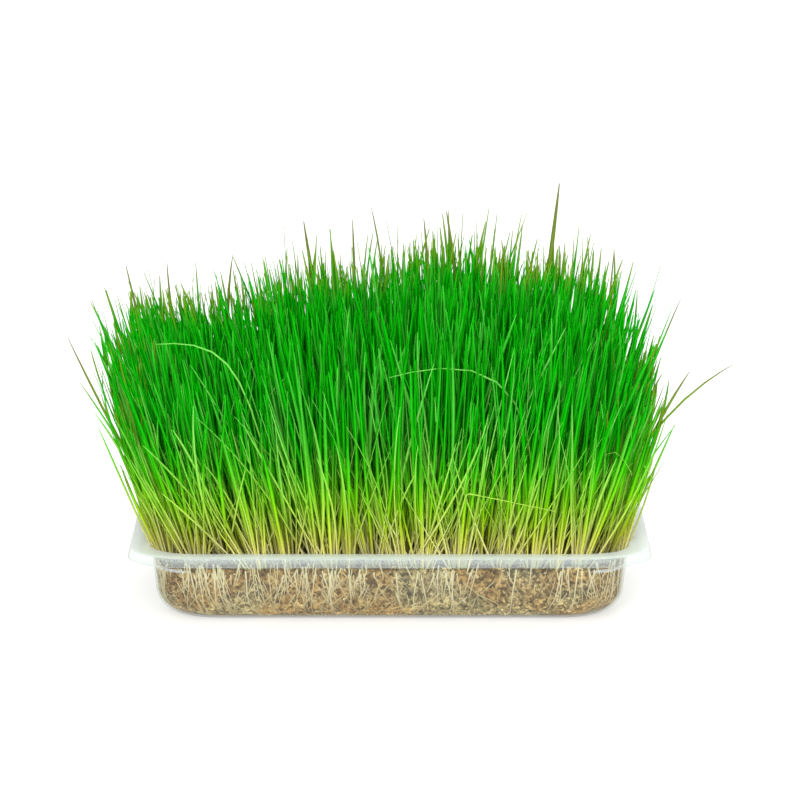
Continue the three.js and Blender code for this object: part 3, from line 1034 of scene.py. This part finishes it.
# Blades that stand out of the mass: foot on the soil, bend, tip, whether they are fresh or have dried tips,
# how sharp the bend is, and the width
strays = {
    "blades": [
        ((66, 56), (80, 60, 120), (90, 62, 208), 0, 1, 2.6),
        ((-22, 54), (-34, 62, 110), (-46, 66, 187), 0, 1, 2.4),
        ((103, 20), (112, 24, 110), (118, 28, 177), 0, 1, 1.4),
        ((-104, 50), (-124, 60, 90), (-141, 68, 163), 0, 1, 1.8),
        ((107, -16), (128, -20, 96), (178, -24, 125), 0, 1, 1.2),
        ((-107, -22), (-134, -30, 70), (-166, -40, 142), 0, 1, 1.4),
        ((5, 60), (1, 62, 150), (-10, 62, 195), 0, 1, 1.1),
        ((45, 56), (39, 60, 140), (30, 62, 193), 0, 1, 2.0),
        ((24, 58), (24, 60, 130), (18, 62, 189), 0, 1, 1.8),
        ((108, 10), (128, 6, 100), (152, 0, 156), 0, 1, 1.1),
        ((110, -30), (130, -32, 85), (155, -34, 123), 0, 1, 1.6),
        ((-18, 60), (-17, 60, 120), (-20, 64, 188), 0, 1, 1.6),
        ((-75, 60), (-92, 64, 120), (-84, 66, 168), 0, 1, 1.5),
        ((-92, 56), (-116, 64, 110), (-119, 66, 165), 0, 1, 1.4),
        ((72, -72), (83, -100, 155), (0, -104, 132), 1, 1.2, 1.2),
        ((-50, -70), (-74, -97, 152), (-118, -98, 148), 1, 2, 1.2),
        ((28, -70), (39, -100, 72), (84, -103, 63), 1, 30, 1.2),
    ],
    "thickness": 0.7,
    "dryFrom": 0.3,
    "young": 0.88,  # fresh ones are less green than their height would make them
}


def growStrays():
    count = len(strays["blades"])
    feet, bends, tips, fresh, sharp, widths = zip(*strays["blades"])
    return {
        "foot": np.column_stack([np.array(feet, float), np.full(count, soilTop - grass["rootDepth"])]),
        "bend": np.array(bends, float),
        "tip": np.array(tips, float),
        "stem": np.array(widths),
        "width": np.array(widths),
        "pale": np.array(fresh, float),
        "dryFrom": np.where(fresh, 1.0, strays["dryFrom"]),
        "sharp": np.array(sharp, float),
        "young": np.where(fresh, strays["young"], 1.0),
        "thickness": np.full(count, strays["thickness"]),
        "facing": np.where(fresh, 0.0, 1.0),
    }


def bladeSections(blades, rng):  # points round each station: back rib, right edge, front rib, left edge
    count = len(blades["foot"])
    foot, bend, tip = (blades[k][:, None] for k in ("foot", "bend", "tip"))
    t = grass["stations"][None, :, None]
    pull = 2 * t * (1 - t) * blades["sharp"][:, None, None]
    line = ((1 - t) ** 2 * foot + pull * bend + t ** 2 * tip) / ((1 - t) ** 2 + pull + t ** 2)
    way = unit(np.gradient(line, axis=1))
    turn = rng.uniform(0, 2 * math.pi, (count, 1)) + rng.normal(0, grass["twist"], (count, 1)) * t[..., 0]
    turn = turn * (1 - blades["facing"][:, None])  # dried strays show their broad side
    side = np.stack([np.cos(turn), np.sin(turn), np.zeros_like(turn)], 2)
    side = unit(side - way * (side * way).sum(2, keepdims=True))
    front = np.cross(side, way)
    opened = np.clip(t / grass["sheathEnd"], 0, 1)
    stem = blades["stem"][:, None, None]
    broad = blades["width"][:, None, None]
    thin = blades["thickness"][:, None, None]
    taper = 1 - grass["taper"] * ramped(t, grass["taperFrom"], 1) ** 3
    width = (stem + (broad - stem) * ramped(t, *grass["opening"])) * taper
    thickness = (stem + (thin - stem) * opened) * (1 - grass["tipThinning"] * t)
    fold = front * grass["fold"] * width * opened
    across = side * width / 2
    through = front * thickness / 2
    return np.stack([line - through, line + across + fold, line + through, line - across + fold], 2)


def makeGrass():
    rng = np.random.default_rng(grass["seed"])
    noise.seed_set(grass["tuftSeed"])
    clumps = plantFeet(grass["clump"], wholeSoil, rng)
    growing = (broadBlades, slimShoots, edgeShoots, droopingShoots)
    kinds = [growBlades(kind, clumps, rng) for kind in growing] + [growStrays()]
    blades = {key: np.concatenate([kind[key] for kind in kinds]) for key in kinds[0]}
    sections = bladeSections(blades, rng)
    tone = rng.random(len(sections))
    foot = blades["foot"]
    column = np.clip(foot[:, 0] // grass["columnPitch"] + grass["columns"] // 2, 0, grass["columns"] - 1)
    row = np.clip(foot[:, 1] // grass["rowPitch"] + grass["rows"] // 2, 0, grass["rows"] - 1)
    bunchOf = (row * grass["columns"] + column).astype(int)
    # the colour changes with height, and the plants in the middle are green nearer to the soil
    growth = np.clip((sections[:, :, 0, 2] - soilTop) / grass["greenHeight"], 0, 1)
    toEdge = (rimHalf - tray["flange"] - np.abs(foot[:, :2])).min(1)
    shelter = ramped(toEdge, *grass["sheltered"])[:, None] * (1 - ramped(growth, *grass["shelterHeights"]))
    inner = ramped(toEdge, *grass["inner"])[:, None] * ramped(growth, 0, grass["innerStart"])
    growth = growth + grass["innerGreen"] * inner * (1 - growth)
    growth = growth * (1 - grass["endsPale"] * atEnds(foot)[:, None]) * blades["young"][:, None]
    finish = grassFinish()
    for bunch in range(grass["columns"] * grass["rows"]):
        mine = bunchOf == bunch
        values = {
            "growth": growth[mine][:, :, None],
            "across": np.array([0.0, 1.0, 0.0, -1.0]),
            "tone": tone[mine][:, None, None],
            "pale": blades["pale"][mine][:, None, None],
            "dryFrom": blades["dryFrom"][mine][:, None, None],
            "toTip": grass["stations"][:, None],
            "shelter": shelter[mine][:, :, None],
        }
        number = f"{bunch + 1:02d}"
        makeLofts(f"grassBunch{number}", sections[mine], values, finish, [f"grass_bunch_{number}"])
    print("grass made:", len(sections), "blades")


makeGrass()


# Studio: pale floor, soft light, and the camera

studio = {
    "floorDrop": 0.2,
    "floorSize": 20000.0,
    "floorShade": "bcbcbb",
    "floorSpots": "b0b0ae",
    "floorSpotShare": 0.04,
    "floorSpotScale": 3.0,
    "floorRoughness": 0.7,
    "floorGlow": 0.5,  # the floor is a light table, so that shadows stay faint
    "skyStrength": 1.0,
    "lights": {  # place and size in metres, power
        "keyLight": ((-0.3, -2.2, 0.8), 1.0, 52.0),
        "fillLight": ((0.8, -1.6, 0.2), 0.8, 15.6),
        "topLight": ((0.2, 0.4, 2.2), 1.5, 23.4),
    },
    "lightAim": (0.0, 0.0, 0.08),
    "elevation": 12.0,  # of the camera, seen from the middle of the tray's underside
    "distance": 2950.0,
    "aimHeight": 102.1,
    "aimAside": 5.3,
    "lens": 251.8,
}


def makeFloor():
    pale = Finish("paleFloor")
    grain = pale.node("TexNoise", {}, {"Scale": studio["floorSpotScale"], "Detail": 2.0})
    spots = studio["floorSpotShare"] * grain
    shade = pale.mix(spots, colour(studio["floorShade"]), colour(studio["floorSpots"]))
    glow = {"Emission Color": (1, 1, 1, 1), "Emission Strength": studio["floorGlow"]}
    matte = {"Roughness": studio["floorRoughness"]}
    pale.show(pale.node("BsdfPrincipled", {}, {"Base Color": shade, **matte, **glow}))
    half = studio["floorSize"] / 2 * mm
    drop = -studio["floorDrop"] * mm
    corners = [(-half, -half, drop), (half, -half, drop), (half, half, drop), (-half, half, drop)]
    mesh = bpy.data.meshes.new("floor")
    mesh.from_pydata(corners, [], [(0, 1, 2, 3)])
    mesh.materials.append(pale.material)
    floor = bpy.data.objects.new("floor", mesh)
    bpy.context.scene.collection.objects.link(floor)


def makeLight(name, place, size, power):
    light = bpy.data.lights.new(name, "AREA")
    light.size = size
    light.energy = power
    lamp = bpy.data.objects.new(name, light)
    lamp.location = place
    aim = Vector(studio["lightAim"]) - Vector(place)
    lamp.rotation_euler = aim.to_track_quat("-Z", "Y").to_euler()
    bpy.context.scene.collection.objects.link(lamp)


def makeCamera():
    lens = bpy.data.cameras.new("camera")
    lens.lens = studio["lens"]
    camera = bpy.data.objects.new("camera", lens)
    rise = math.radians(studio["elevation"])
    away = studio["distance"] * mm
    aside = studio["aimAside"] * mm
    camera.location = (aside, -away * math.cos(rise), away * math.sin(rise))
    aim = Vector((aside, 0, studio["aimHeight"] * mm))
    camera.rotation_euler = (aim - camera.location).to_track_quat("-Z", "Y").to_euler()
    bpy.context.scene.collection.objects.link(camera)
    bpy.context.scene.camera = camera


def makeSky():
    sky = bpy.data.worlds.new("studio")
    sky.use_nodes = True
    backdrop = sky.node_tree.nodes["Background"]
    backdrop.inputs["Color"].default_value = (1, 1, 1, 1)
    backdrop.inputs["Strength"].default_value = studio["skyStrength"]
    bpy.context.scene.world = sky


makeFloor()
makeSky()
for name, (place, size, power) in studio["lights"].items():
    makeLight(name, place, size, power)
makeCamera()
bpy.context.scene.view_settings.view_transform = "Standard"
print("studio made")
